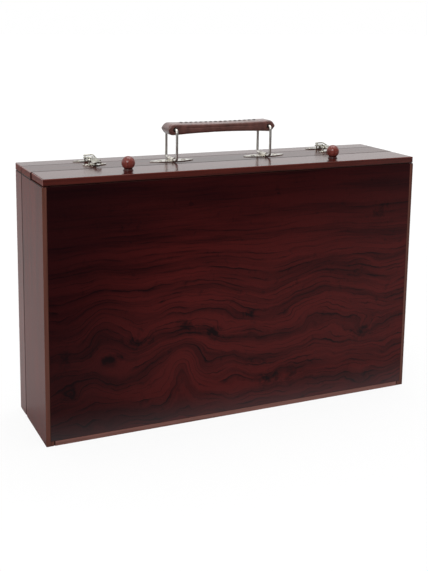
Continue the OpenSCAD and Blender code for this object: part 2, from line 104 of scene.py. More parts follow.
def add(tree, kind, inputs=None, **settings):
    """Adds a node with its settings, and links or sets its inputs."""
    node = tree.nodes.new(kind)
    for key, value in settings.items():
        setattr(node, key, value)
    for key, value in (inputs or {}).items():
        named = [s for s in node.inputs if s.enabled and s.name == key]
        socket = node.inputs[key] if isinstance(key, int) else named[0]
        if isinstance(value, bpy.types.Node):
            value = next(s for s in value.outputs if s.enabled)
        if isinstance(value, bpy.types.NodeSocket):
            tree.links.new(value, socket)
        else:
            socket.default_value = value
    return node


def finish(name):
    """A new material and its empty node tree."""
    material = bpy.data.materials.new(name)
    material.use_nodes = True
    material.node_tree.nodes.clear()
    return material, material.node_tree


OUTPUT = "ShaderNodeOutputMaterial"
MATH = "ShaderNodeMath"
VECTOR = "ShaderNodeVectorMath"
COMBINE = "ShaderNodeCombineXYZ"
SEPARATE = "ShaderNodeSeparateXYZ"
MAPPING = "ShaderNodeMapping"
SURFACE = "ShaderNodeBsdfPrincipled"
BUMP = "ShaderNodeBump"
TRANSFORM = "GeometryNodeTransform"
NOISE = "ShaderNodeTexNoise"
RAMP = "ShaderNodeMapRange"
MIX = "ShaderNodeMix"

# %% [markdown]
# The boards are mahogany-stained solid wood under gloss lacquer. The stain dries darker in the pores
# and along the growth rings, and the lacquer lies over it as a clear coat, so that a board looks
# brown from the front and nearly white where it is seen at a low angle. The rings are drawn in
# space around a pith beside the board, not on its faces, so end grain shows by itself where a board
# is cut across. The sorts differ in how dark the stain took and how worn the lacquer is, and two
# carry painted light: a pale one at the foot is a painted reflection of the floor, and a dark one in
# the seams is painted shade.

# %% Stained and lacquered solid wood
RING = 5.5  # mm from ring to ring
PITH = 55  # mm from the pith to the middle of the case
WANDER = 9  # mm that the rings stray
FIBRE = 1.4  # mm; real pores are 0.2 mm wide, too fine to show here


def place_in_mm(tree, along="Z"):
    """Object coordinates in mm, turned so that the grain runs along the local Z axis."""
    turns = {"X": (0, QUARTER, 0), "Z": (0, 0, 0)}
    place = add(tree, "ShaderNodeTexCoord").outputs["Object"]
    return add(tree, MAPPING, {"Vector": place, "Rotation": turns[along], "Scale": (1 / MM,) * 3})


def ring_pattern(tree, place, ring):
    """Growth rings round a pith outside the board: 0 in pale early wood and 1 in dark late wood."""
    drift = add(tree, NOISE, {"Vector": add(tree, MAPPING,
                {"Vector": place, "Scale": (0.03, 0.03, 0.004)}), "Scale": 1, "Detail": 3})
    moved = add(tree, VECTOR, {0: drift.outputs["Color"], 1: (WANDER,) * 3, 2: place},
                operation="MULTIPLY_ADD")
    parts = add(tree, SEPARATE, {"Vector": moved}).outputs
    flat = add(tree, COMBINE, {"X": parts["X"],
               "Y": add(tree, MATH, {0: parts["Y"], 1: PITH}, operation="ADD")})
    radius = add(tree, VECTOR, {0: flat}, operation="LENGTH")
    turn = add(tree, MATH, {0: radius, 1: 1 / ring}, operation="MULTIPLY")
    saw = add(tree, MATH, {0: turn}, operation="FRACT")
    return add(tree, MATH, {0: saw, 1: 2.5}, operation="POWER")


def stained_wood(name, along, pale, deep, coat=0.96, gloss=0.2, ring=RING):
    """Solid mahogany, stained and lacquered; along is the axis of its grain."""
    material, tree = finish(name)
    place = place_in_mm(tree, along)
    rings = ring_pattern(tree, place, ring)
    stretched = add(tree, MAPPING, {"Vector": place, "Scale": (1 / FIBRE, 1 / FIBRE, 0.022)})
    fibres = add(tree, NOISE, {"Vector": stretched, "Scale": 1, "Detail": 4, "Roughness": 0.6})
    clouds = add(tree, NOISE, {"Vector": place, "Scale": 0.018, "Detail": 2})
    dark = add(tree, MATH, {0: rings, 1: 0.45, 2: add(tree, RAMP, {"Value": fibres, "From Min": 0.3,
               "From Max": 0.75, "To Min": 0, "To Max": 0.55})}, operation="MULTIPLY_ADD")
    shade = add(tree, MATH, {0: dark, 1: add(tree, RAMP, {"Value": clouds, "From Min": 0.3,
                "From Max": 0.7, "To Min": 0.7, "To Max": 1.25})}, operation="MULTIPLY",
                use_clamp=True)
    colour = add(tree, MIX, {"Factor": shade, "A": linear(pale), "B": linear(deep)},
                 data_type="RGBA")
    grain = add(tree, BUMP, {"Height": fibres, "Strength": 0.12, "Distance": 0.15 * MM})
    orange_peel = add(tree, NOISE, {"Vector": place, "Scale": 0.12, "Detail": 2})
    flow = add(tree, BUMP, {"Height": orange_peel, "Strength": 0.1, "Distance": 0.4 * MM})
    shader = add(tree, SURFACE, {
        "Base Color": colour, "Roughness": 0.55, "Specular IOR Level": 0.0, "Normal": grain,
        "Coat Weight": coat, "Coat Roughness": gloss, "Coat IOR": 1.5, "Coat Normal": flow})
    add(tree, OUTPUT, {"Surface": shader})
    return material


wood_x = stained_wood("mahogany stained, grain along X", "X", "#4f1c15", "#260b09")
rail_x = stained_wood("mahogany stained, case rail", "X", "#471913", "#200908", coat=0.8)
wood_z = stained_wood("mahogany stained, grain along Z", "Z", "#5c2019", "#35110d", coat=0.42)
lid_z = stained_wood("mahogany stained, lid sides", "Z", "#62231c", "#3a130f", coat=0.54)
edge_x = stained_wood("mahogany rubbed on the edge, along X", "X", "#71342a", "#4a1e18")
edge_z = stained_wood("mahogany rubbed on the edge, along Z", "Z", "#5f3930", "#3d231c", coat=0.34)
# painted reflection: this pale sort stands for the floor mirrored in the board at the foot
foot_reflection_wood = stained_wood("mahogany paled at the foot by a painted floor reflection", "X", "#80564e", "#5a3a34", coat=0.6)
end_grain = stained_wood("mahogany end grain", "X", "#6a3027", "#3d1712", coat=0.3, gloss=0.3)
# painted shade: this dark sort goes on eased edges in a seam, where the gap lies in shade
seam_shade_wood = stained_wood("mahogany darkened by painted shade in a seam", "X", "#32130f", "#1c0a08", coat=0.3)
print("stained wood: 9 sorts from one recipe")

# %% [markdown]
# Both large faces are plywood with a dark stained veneer. A veneer is peeled or sliced at a low
# angle through the rings, so its lines run level, swell into arches and close into eyes round knots.
# All of it can come from one field: height, pushed up or down by soft bumps. Everything that is
# drawn as thin streaks of that field then follows the same arches. A bump that is steeper than the
# field's own slope makes closed rings, which is what a knot looks like.

# %% Figured veneer: its field
ARCHES = [  # centre x, centre z, half width, half height, rise: all in mm
    (-142, 112, 20, 50, 14),
    (-66, 108, 44, 58, 11),
    (30, 106, 27, 50, -13),
    (103, 112, 32, 56, 9),
    (168, 100, 30, 60, -8),
]
KNOTS = [
    (-64, 60, 17, 27, 30),
    (-108, 92, 9, 8, -11),
    (-138, 76, 12, 8, 12),
    (-174, 46, 9, 8, -9),
    (-22, 92, 9, 7, -8),
    (148, 70, 14, 12, -15),
]


def soft_bump(tree, place, bump):
    """A Gaussian hill of the given size on the X-Z plane."""
    x, z, half_w, half_h, rise = bump
    moved = add(tree, VECTOR, {0: place, 1: (x, 0, z)}, operation="SUBTRACT")
    scaled = add(tree, VECTOR, {0: moved, 1: (1 / half_w, 0, 1 / half_h)}, operation="MULTIPLY")
    square = add(tree, VECTOR, {0: scaled, 1: scaled}, operation="DOT_PRODUCT")
    hill = add(tree, MATH, {0: math.exp(-1), 1: square}, operation="POWER")
    return add(tree, MATH, {0: hill, 1: rise}, operation="MULTIPLY")


def figure_field(tree, place, seed, bumps):
    """Height above the foot of the panel, pushed about: calm near the top, wild below."""
    height = add(tree, SEPARATE, {"Vector": place}).outputs["Z"]
    wild = add(tree, RAMP, {"Value": height, "From Min": 190, "From Max": 80, "To Min": 0.12,
                            "To Max": 1.0})
    waver = add(tree, NOISE, {"Vector": place, "Scale": 0.022, "Detail": 3.5, "W": seed},
                noise_dimensions="4D")
    push = add(tree, RAMP, {"Value": waver, "From Min": 0, "From Max": 1, "To Min": -20,
                            "To Max": 20})
    field = add(tree, MATH, {0: push, 1: wild, 2: height}, operation="MULTIPLY_ADD")
    for bump in bumps:
        field = add(tree, MATH, {0: field, 1: soft_bump(tree, place, bump)}, operation="SUBTRACT")
    return field


def streaks(tree, x, field, across, length, detail, seed):
    """Noise whose cells are across mm thick and length mm long, and follow the field."""
    flat = add(tree, COMBINE, {"X": x, "Y": field, "Z": seed})
    place = add(tree, VECTOR, {0: flat, 1: (1 / length, 1 / across, 1)}, operation="MULTIPLY")
    return add(tree, NOISE, {"Vector": place, "Scale": 1, "Detail": detail, "Roughness": 0.55})


# %% [markdown]
# On the real veneer the late wood of each ring shows as a thin dark line that fades in and out, and
# dark spots gather round the small knots. The lines are steps of the field, let through in places by
# a second noise. The spots are soft hills that a rough noise eats into, so their rims are ragged.

# %% Figured veneer: its lines and blots
LINE_STEP = 5.2  # mm of the field from line to line, as on flat-cut wood
BLOTS = [  # centre x, centre z, half width, half height, depth: dark spots round the small knots
    (-110, 91, 11, 6, 1.0),
    (-136, 78, 14, 5, 0.9),
    (-181, 84, 7, 13, 0.8),
    (-176, 46, 8, 5, 0.8),
    (-62, 101, 8, 7, 1.0),
    (-28, 92, 8, 5, 0.9),
    (10, 105, 6, 4, 0.8),
    (38, 32, 26, 8, 0.7),
    (143, 70, 12, 9, 0.8),
    (160, 200, 15, 9, 0.6),
]


def growth_lines(tree, x, field, seed):
    """Thin dark lines along the field, 5 to 6 mm apart, that come and go."""
    drift = streaks(tree, x, field, 22, 120, 2.5, seed + 3)
    phase = add(tree, MATH, {0: drift, 1: 3.2, 2: add(tree, MATH, {0: field, 1: 1 / LINE_STEP},
                operation="MULTIPLY")}, operation="MULTIPLY_ADD")
    saw = add(tree, MATH, {0: phase}, operation="FRACT")
    soft = add(tree, MATH, {0: saw, 1: 7}, operation="POWER")
    presence = streaks(tree, x, field, 7, 42, 3, seed + 5)
    here = add(tree, RAMP, {"Value": presence, "From Min": 0.42, "From Max": 0.6, "To Max": 1.3})
    return add(tree, MATH, {0: soft, 1: here}, operation="MULTIPLY")


def dark_blots(tree, place, seed):
    """Irregular dark spots: soft hills, eaten into by noise."""
    total = None
    for blot in BLOTS:
        hill = soft_bump(tree, place, blot)
        total = hill if total is None else add(tree, MATH, {0: total, 1: hill}, operation="ADD")
    rough = add(tree, NOISE, {"Vector": place, "Scale": 0.13, "Detail": 5, "Roughness": 0.65,
                              "Distortion": 0.6, "W": seed + 2}, noise_dimensions="4D")
    eaten = add(tree, MATH, {0: rough, 1: -3.2, 2: add(tree, MATH, {0: total, 1: 1.6},
                operation="ADD")}, operation="MULTIPLY_ADD")
    return add(tree, RAMP, {"Value": eaten, "From Min": 0.25, "From Max": 1.2})


def painted_edge_shade(tree, x, height):
    """1 in the middle of the panel, less towards its left and upper edge: painted shade."""
    left = add(tree, RAMP, {"Value": x, "From Min": -205, "From Max": -40, "To Min": 0.3,
                            "To Max": 1}, interpolation_type="SMOOTHSTEP")
    top = add(tree, RAMP, {"Value": height, "From Min": 262, "From Max": 130, "To Min": 0.3,
                           "To Max": 1}, interpolation_type="SMOOTHSTEP")
    return add(tree, MATH, {0: left, 1: top}, operation="MULTIPLY")


# %% [markdown]
# The stain took unevenly: whole bands are darker and fine streaks vary the tone. The left and the
# upper edge are darkened further: that is painted shade. The pores are drawn 0.9 mm thick, about
# four times the real size, or they wouldn't show. The lacquer is rubbed down, so its coat mirrors
# less than a fresh one. Near the foot the colour is mixed towards grey, a painted reflection of the
# floor.

# %% Figured veneer: the finish


def veneer(name, seed, bumps, mirror=1):
    """Dark stained figured veneer under lacquer."""
    material, tree = finish(name)
    place = add(tree, MAPPING, {
        "Vector": add(tree, "ShaderNodeTexCoord").outputs["Object"],
        "Scale": (mirror / MM, 1 / MM, 1 / MM)})
    parts = add(tree, SEPARATE, {"Vector": place}).outputs
    x, height = parts["X"], parts["Z"]
    field = figure_field(tree, place, seed, bumps)
    bands = streaks(tree, x, field, 13, 170, 2, seed)
    fine = streaks(tree, x, field, 1.6, 46, 3, seed + 7)
    pores = streaks(tree, x, field, 0.9, 9, 1, seed + 11)
    pits = add(tree, RAMP, {"Value": pores, "From Min": 0.62, "From Max": 0.72})
    calm = add(tree, RAMP, {"Value": height, "From Min": 215, "From Max": 140, "To Min": 0.4,
                            "To Max": 1.0})
    lines = add(tree, MATH, {0: growth_lines(tree, x, field, seed), 1: calm}, operation="MULTIPLY")

    tone = add(tree, RAMP, {"Value": fine, "From Min": 0.3, "From Max": 0.7, "To Min": -0.16,
                            "To Max": 0.16})
    dark = add(tree, RAMP, {"Value": bands, "From Min": 0.36, "From Max": 0.64, "To Min": -0.1,
                            "To Max": 0.55})
    blots = dark_blots(tree, place, seed)
    for part, share in ((lines, 1), (blots, 0.85), (pits, 0.12), (tone, 1)):
        dark = add(tree, MATH, {0: part, 1: share, 2: dark}, operation="MULTIPLY_ADD")
    pale = add(tree, MATH, {0: 1, 1: dark}, operation="SUBTRACT", use_clamp=True)
    # painted shade: the pale share of the figure is lowered towards the left and upper edge
    pale = add(tree, MATH, {0: pale, 1: painted_edge_shade(tree, x, height)}, operation="MULTIPLY")
    colour = add(tree, MIX, {"Factor": pale, "A": linear("#130507"), "B": linear("#451312")},
                 data_type="RGBA")
    # painted reflection of the floor: the colour is mixed towards grey near the foot
    painted_floor_reflection = add(tree, RAMP, {"Value": height, "From Min": 38, "From Max": 5, "To Max": 0.4})
    painted_floor_reflection = add(tree, MATH, {0: painted_floor_reflection, 1: painted_floor_reflection}, operation="MULTIPLY")
    colour = add(tree, MIX, {"Factor": painted_floor_reflection, "A": colour, "B": linear("#6a6a6c")},
                 data_type="RGBA")
    shader = add(tree, SURFACE, {
        "Base Color": colour, "Roughness": 0.5, "Specular IOR Level": 0.0,
        "Coat Weight": 0.8, "Coat Roughness": 0.16, "Coat IOR": 1.22})
    add(tree, OUTPUT, {"Surface": shader})
    return material


veneer_front = veneer("mahogany veneer of the drawer side", 4.0, ARCHES + KNOTS)
veneer_lid = veneer("mahogany veneer of the lid", 19.0, ARCHES[1:4] + KNOTS[:2], mirror=-1)
print("veneer: 2 figures from", len(ARCHES), "arches,", len(KNOTS), "knots and", len(BLOTS), "blots")

# %% [markdown]
# Inside, the tray and the drawer are plain sanded limewood, pale and almost without figure.

# %% Plain limewood


def limewood(name, along):
    """Sanded limewood without a finish."""
    material, tree = finish(name)
    place = place_in_mm(tree, along)
    rings = ring_pattern(tree, place, 4)
    stretched = add(tree, MAPPING, {"Vector": place, "Scale": (0.8, 0.8, 0.03)})
    fibres = add(tree, NOISE, {"Vector": stretched, "Scale": 1, "Detail": 4})
    shade = add(tree, MATH, {0: rings, 1: 0.35, 2: add(tree, RAMP, {"Value": fibres,
                "From Min": 0.3, "From Max": 0.7, "To Max": 0.5})}, operation="MULTIPLY_ADD",
                use_clamp=True)
    colour = add(tree, MIX, {"Factor": shade, "A": linear("#d8b787"), "B": linear("#b48a58")},
                 data_type="RGBA")
    bump = add(tree, BUMP, {"Height": fibres, "Strength": 0.25, "Distance": 0.1 * MM})
    shader = add(tree, SURFACE, {"Base Color": colour, "Roughness": 0.6, "Normal": bump})
    add(tree, OUTPUT, {"Surface": shader})
    return material


lime_x = limewood("limewood, grain along X", "X")
lime_z = limewood("limewood, grain along Z", "Z")

# %% [markdown]
# The fittings are stamped steel with bright nickel plate: a mirror with a faint warm tone, softened
# by handling. The plate itself is even, so the only variation is in its smudges.

# %% Nickel plate


def nickel_plate(name, tone, worn, smooth, smudge=4):
    """Bright nickel plate; smudge is the size of its smudges in mm."""
    material, tree = finish(name)
    place = place_in_mm(tree)
    smudges = add(tree, NOISE, {"Vector": place, "Scale": 1 / smudge, "Detail": 2})
    patches = add(tree, RAMP, {"Value": smudges, "From Min": 0.4, "From Max": 0.7})
    colour = add(tree, MIX, {"Factor": patches, "A": linear(tone), "B": linear(worn)},
                 data_type="RGBA")
    rough = add(tree, RAMP, {"Value": smudges, "From Min": 0.35, "From Max": 0.7,
                             "To Min": smooth, "To Max": smooth + 0.16})
    dents = add(tree, BUMP, {"Height": smudges, "Strength": 0.1, "Distance": 0.1 * MM})
    shader = add(tree, SURFACE, {"Base Color": colour, "Metallic": 1,
                                                    "Roughness": rough, "Normal": dents})
    add(tree, OUTPUT, {"Surface": shader})
    return material


nickel = nickel_plate("bright nickel plate", "#dcd7ce", "#a39f95", 0.12)
wire_nickel = nickel_plate("nickel plate on wire", "#e0ddd7", "#bdbab4", 0.3, smudge=14)
latch_nickel = nickel_plate("nickel plate on the latches", "#bbb8ad", "#66645b", 0.16, smudge=5)
screw_steel = nickel_plate("nickel plate on screws", "#b9b4aa", "#8a857c", 0.22)

# %% [markdown]
# The grip is brown leather, finished smooth. Its grain is a net of tiny cells, finer than a pixel
# here, so it is drawn about twice as coarse as the real one. Rubbing has paled it in patches. The
# thread is waxed linen, which shines as softly, so it takes the same recipe in a darker colour.

# %% Leather and thread
LEATHER_CELL = 1.1  # mm


def smooth_leather(name, pale, deep):
    """Finished brown leather."""
    material, tree = finish(name)
    place = place_in_mm(tree)
    cells = add(tree, "ShaderNodeTexVoronoi", {"Vector": place, "Scale": 1 / LEATHER_CELL},
                feature="DISTANCE_TO_EDGE")
    creases = add(tree, NOISE, {"Vector": place, "Scale": 0.12, "Detail": 5, "Roughness": 0.6})
    rubbed = add(tree, RAMP, {"Value": creases, "From Min": 0.35, "From Max": 0.68})
    colour = add(tree, MIX, {"Factor": rubbed, "A": linear(deep), "B": linear(pale)},
                 data_type="RGBA")
    cell_bump = add(tree, BUMP, {"Height": cells, "Strength": 0.25, "Distance": 0.08 * MM})
    bump = add(tree, BUMP, {"Height": creases, "Strength": 0.5,
                                        "Distance": 0.5 * MM, "Normal": cell_bump})
    shader = add(tree, SURFACE, {
        "Base Color": colour, "Roughness": 0.42, "Normal": bump,
        "Coat Weight": 0.6, "Coat Roughness": 0.27})
    add(tree, OUTPUT, {"Surface": shader})
    return material


leather = smooth_leather("brown leather", "#6a3f37", "#48261f")
cut_leather = smooth_leather("cut edge of leather", "#3a2a1e", "#1d120d")
thread = smooth_leather("waxed linen thread", "#2a1512", "#190b0a")

# %% [markdown]
# A board leaves the plane with sharp edges and is eased with sandpaper before it is stained. The
# eased edge catches light and is rubbed paler in use. Each board is a copy of its solid: the copy's
# loose triangles are merged and flattened into whole faces, and a Bevel rounds the long outer edges
# and gives them the second material. Edges in a seam take a darker material, which is painted shade
# of the gap between the boards. The solid stays hidden in the same place.

# %% Eased boards
MERGE = 0.002 * MM
FLAT = math.radians(0.5)
ON_PLANE = 0.05 * MM
OUTSIDE = 1.2 * MM
FACING = 0.9  # least cosine of a normal that counts as facing along an axis


def link(name, mesh):
    """A new object for a mesh, in the scene."""
    thing = bpy.data.objects.new(name, mesh)
    bpy.context.scene.collection.objects.link(thing)
    return thing


def to_mesh(shape, name, *materials):
    """Turns a BMesh into a mesh with its materials."""
    mesh = bpy.data.meshes.new(name)
    shape.to_mesh(mesh)
    shape.free()
    for material in materials:
        mesh.materials.append(material)
    return mesh


def settle(thing):
    """Applies the modifiers: the evaluated mesh becomes the object's own."""
    seen = thing.evaluated_get(bpy.context.evaluated_depsgraph_get())
    mesh = bpy.data.meshes.new_from_object(seen)
    thing.modifiers.clear()
    thing.data = mesh
    mesh.name = thing.name
    return thing


def round_edges(thing, width, **settings):
    """Rounds the edges with a Bevel of a width in mm and keeps the result."""
    bevel = thing.modifiers.new("ease", "BEVEL")
    bevel.width = width * MM
    bevel.harden_normals = True
    for key, value in settings.items():
        setattr(bevel, key, value)
    return settle(thing)


def dress(thing, body, slot, *nodes):
    """The piece rides on its body and stands for its nodes, which it hides; slot is not used."""
    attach(thing, body)
    if nodes:
        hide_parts(*nodes)
    return thing


def merged_copy(node):
    """A clean BMesh of a node's solid."""
    shape = bmesh.new()
    shape.from_mesh(frame["nodes"][node].data)
    bmesh.ops.remove_doubles(shape, verts=shape.verts, dist=MERGE)
    bmesh.ops.dissolve_limit(shape, angle_limit=FLAT, verts=shape.verts, edges=shape.edges)
    return shape


def on_box_edge(edge, low, high):
    """True for an edge that runs along an outer corner of the piece's box."""
    sides = 0
    for axis in range(3):
        for plane in (low[axis], high[axis]):
            if all(abs(v.co[axis] - plane) < ON_PLANE for v in edge.verts):
                sides += 1
    return sides == 2


body_of = {node: body for body, nodes in frame["record"]["behaviour"]["bodies"].items()
           for node in nodes}
case_low = Vector((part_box("side_left")[0].x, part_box("drawer_front")[0].y, 0))
case_high = Vector((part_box("side_right")[1].x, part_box("lid_panel")[1].y,
                    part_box("front_rail")[1].z))
print("case:", [round(size / MM, 1) for size in case_high - case_low], "mm")
EASED, SAWN, SEAM = 1, 2, 3  # slots in a board's list of finishes; slot 0 is its face


def in_a_seam(centre):
    """True for an eased edge that isn't on an outer corner of the closed case."""
    near = [min(abs(centre[i] - case_low[i]), abs(centre[i] - case_high[i])) for i in range(3)]
    return sum(gap < OUTSIDE for gap in near) < 2


def eased_board(node, slot, finishes, ease, along="X"):
    """A copy of a board with its outer edges rounded; finishes are face, edge, end and seam."""
    low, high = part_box(node)
    shape = merged_copy(node)
    weights = shape.edges.layers.float.new("bevel_weight_edge")
    for e in shape.edges:
        if on_box_edge(e, low, high):
            e[weights] = 1
    for f in shape.faces:
        if abs(f.normal["XYZ".index(along)]) > FACING:
            f.material_index = SAWN
    board = link("eased_" + node, to_mesh(shape, "eased_" + node, *finishes))
    round_edges(board, ease, segments=3, limit_method="WEIGHT", use_clamp_overlap=False,
                material=EASED)
    for polygon in board.data.polygons:
        if along == "Z" and abs(polygon.normal.y) > FACING:  # the rim, rubbed as the edges are
            polygon.material_index = EASED
        elif polygon.material_index == EASED and in_a_seam(polygon.center):
            polygon.material_index = SEAM
    return dress(board, body_of[node], slot, node)


BOARDS = {  # node: face, eased edge, width of the eased edge in mm, grain
    "drawer_front": (wood_x, edge_x, 0.9, "X"),
    "front_rail": (rail_x, edge_x, 0.8, "X"),
    "lid_front_rail": (wood_x, edge_x, 0.8, "X"),
    "hinge_rail": (foot_reflection_wood, foot_reflection_wood, 0.6, "X"),
    "lid_hinge_rail": (edge_x, edge_x, 0.6, "X"),
    "side_left": (wood_z, edge_z, 0.9, "Z"),
    "side_right": (wood_z, edge_z, 0.9, "Z"),
    "lid_side_left": (lid_z, edge_z, 0.9, "Z"),
    "lid_side_right": (lid_z, edge_z, 0.9, "Z"),
}
PANEL_EASE = 0.35
INNER_EASE = 0.4
for node, (face, edge, ease, along) in BOARDS.items():
    eased_board(node, "stained_frame", (face, edge, end_grain, seam_shade_wood), ease, along)
for node, figure in (("bottom_panel", veneer_front), ("lid_panel", veneer_lid)):
    eased_board(node, "veneered_panel", (figure, edge_x, end_grain, seam_shade_wood), PANEL_EASE)
INNER = {
    "shelf": lime_x, "tray_divider": lime_x, "small_divider_left": lime_z,
    "small_divider_right": lime_z, "brush_rest_left": lime_z, "brush_rest_right": lime_z,
    "drawer_side_left": lime_z, "drawer_side_right": lime_z, "drawer_back": lime_x,
    "drawer_bottom": lime_x, "drawer_divider_left": lime_z, "drawer_divider_right": lime_z,
}
for node, wood in INNER.items():
    eased_board(node, "inner_wood", (wood,) * 4, INNER_EASE)
print("boards:", len(BOARDS), "stained, 2 veneered and", len(INNER), "inside")

# %% [markdown]
# The stamped fittings are copies of their solids too. Their small edges get a tiny Bevel, because
# the bright line along a rounded edge is what tells the eye that a piece is metal.

# %% Stamped fittings
SMOOTH = math.radians(35)
CREASED = math.radians(50)


def shade(mesh, sharp):
    """Smooth shading, except at edges sharper than an angle."""
    mesh.shade_smooth()
    mesh.set_sharp_from_angle(angle=sharp)


def plate(node, metal):
    """The finish of a small node that is shown as it is."""
    slots = frame["nodes"][node].data.materials
    slots.clear()
    slots.append(metal)


def stamped(node, metal, ease):
    """A copy of a metal piece with tiny rounded edges."""
    piece = link("stamped_" + node, to_mesh(merged_copy(node), "stamped_" + node, metal))
    shade(piece.data, SMOOTH)
    round_edges(piece, ease, segments=2, limit_method="ANGLE", angle_limit=SMOOTH)
    return dress(piece, body_of[node], "nickel", node)


STAMPED = {
    "handle_plate": (nickel, 0.15), "latch_base": (nickel, 0.12),
    "latch_lever": (latch_nickel, 0.12), "latch_strike": (latch_nickel, 0.12),
}
for kind, (metal, ease) in STAMPED.items():
    for side in SIDES:
        stamped(f"{kind}_{side}", metal, ease)
for kind in ("hinge_leaf_case", "hinge_leaf_lid", "hinge_pin", "latch_pin"):
    for side in SIDES:
        plate(f"{kind}_{side}", nickel)
print("stamped:", 2 * len(STAMPED), "fittings")

# %% [markdown]
# The handle's two loops and the latches' two bails are closed rectangles of bent wire. They follow
# one rule, so one Geometry Nodes tree makes all four: a rectangle whose corners are filleted to the
# wire's bend, swept with a round section. The rectangle is drawn flat and a transform puts it on
# the axes that its place needs.

# %% Bent wire


def new_tree(name, inputs):
    """A geometry tree with named inputs; returns it with the sockets that they give, by name."""
    tree = bpy.data.node_groups.new(name, "GeometryNodeTree")
    tree.interface.new_socket("Geometry", in_out="OUTPUT", socket_type="NodeSocketGeometry")
    for label, kind in {"Geometry": "Geometry", **inputs}.items():
        tree.interface.new_socket(label, in_out="INPUT", socket_type="NodeSocket" + kind)
    return tree, {socket.name: socket for socket in add(tree, "NodeGroupInput").outputs}


def grow(name, tree, values, places=((0, 0, 0),), edges=()):
    """Runs a tree on some vertices with its named inputs set, and keeps the plain mesh."""
    mesh = bpy.data.meshes.new(name)
    mesh.from_pydata([Vector(p) for p in places], list(edges), [])
    thing = link(name, mesh)
    modifier = thing.modifiers.new("make", "NODES")
    modifier.node_group = tree
    for item in tree.interface.items_tree:
        if item.in_out == "INPUT" and item.name in values:
            modifier[item.identifier] = values[item.name]
    return settle(thing)


def bent_wire_tree():
    """A closed rectangle of round wire."""
    tree, given = new_tree("bent wire", {
        "Width": "Float", "Reach": "Float", "Bend": "Float", "Wire Radius": "Float",
        "Place": "Vector", "Turn": "Vector", "Material": "Material"})
    width, reach = given["Width"], given["Reach"]
    outline = add(tree, "GeometryNodeCurvePrimitiveQuadrilateral",
                  {"Width": width, "Height": reach})
    bent = add(tree, "GeometryNodeFilletCurve",
               {"Curve": outline, "Radius": given["Bend"], "Count": 10}, mode="POLY")
    section = add(tree, "GeometryNodeCurvePrimitiveCircle",
                  {"Resolution": 20, "Radius": given["Wire Radius"]})
    swept = add(tree, "GeometryNodeCurveToMesh", {"Curve": bent, "Profile Curve": section})
    placed = add(tree, TRANSFORM,
                 {"Geometry": swept, "Translation": given["Place"], "Rotation": given["Turn"]})
    real = add(tree, "GeometryNodeRealizeInstances", {"Geometry": placed})
    smooth = add(tree, "GeometryNodeSetShadeSmooth", {"Geometry": real})
    plated = add(tree, "GeometryNodeSetMaterial", {
        "Geometry": smooth, "Material": given["Material"]})
    add(tree, "NodeGroupOutput", {"Geometry": plated})
    return tree


bent_wire = bent_wire_tree()
LOOP_WIRE = 1.3 * MM
LOOP_BEND = 3 * MM
BAIL_WIRE = 0.7 * MM
BAIL_BEND = 1.2 * MM
BAIL_W = 9.3 * MM
BAIL_DIP = (16.5 * MM, 2.9 * MM)  # how far a bail runs along and down
for side in SIDES:
    low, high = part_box("loop_" + side)
    middle = (low + high) / 2
    loop = grow("wire_loop_" + side, bent_wire, {
        "Width": high.y - low.y - 2 * LOOP_WIRE, "Reach": high.z - low.z - 2 * LOOP_WIRE,
        "Bend": LOOP_BEND, "Wire Radius": LOOP_WIRE, "Place": middle,
        "Turn": (QUARTER, 0, QUARTER), "Material": wire_nickel})
    dress(loop, "loop_" + side, "nickel", "loop_" + side)
    low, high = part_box("latch_bail_" + side)
    middle = (low + high) / 2
    bail = grow("wire_bail_" + side, bent_wire, {
        "Width": BAIL_W, "Reach": math.hypot(*BAIL_DIP), "Bend": BAIL_BEND,
        "Wire Radius": BAIL_WIRE, "Place": middle,
        "Turn": (math.atan2(BAIL_DIP[1], BAIL_DIP[0]), 0, 0), "Material": latch_nickel})
    dress(bail, "latch_bail_" + side, "nickel", "latch_bail_" + side)
print("wire: 2 loops and 2 bails")

# %% [markdown]
# Screws hold every fitting. They are raised countersunk screws with a cross slot, all alike but for
# their size, and nobody turns them to the same angle. One tree makes a screw from a dome, a cone
# and a shank, cuts the two slots with a Boolean, puts one on each point and gives each its own turn
# from a fixed seed.

# %% Screws
SCREW_TIP = 0.1 * MM


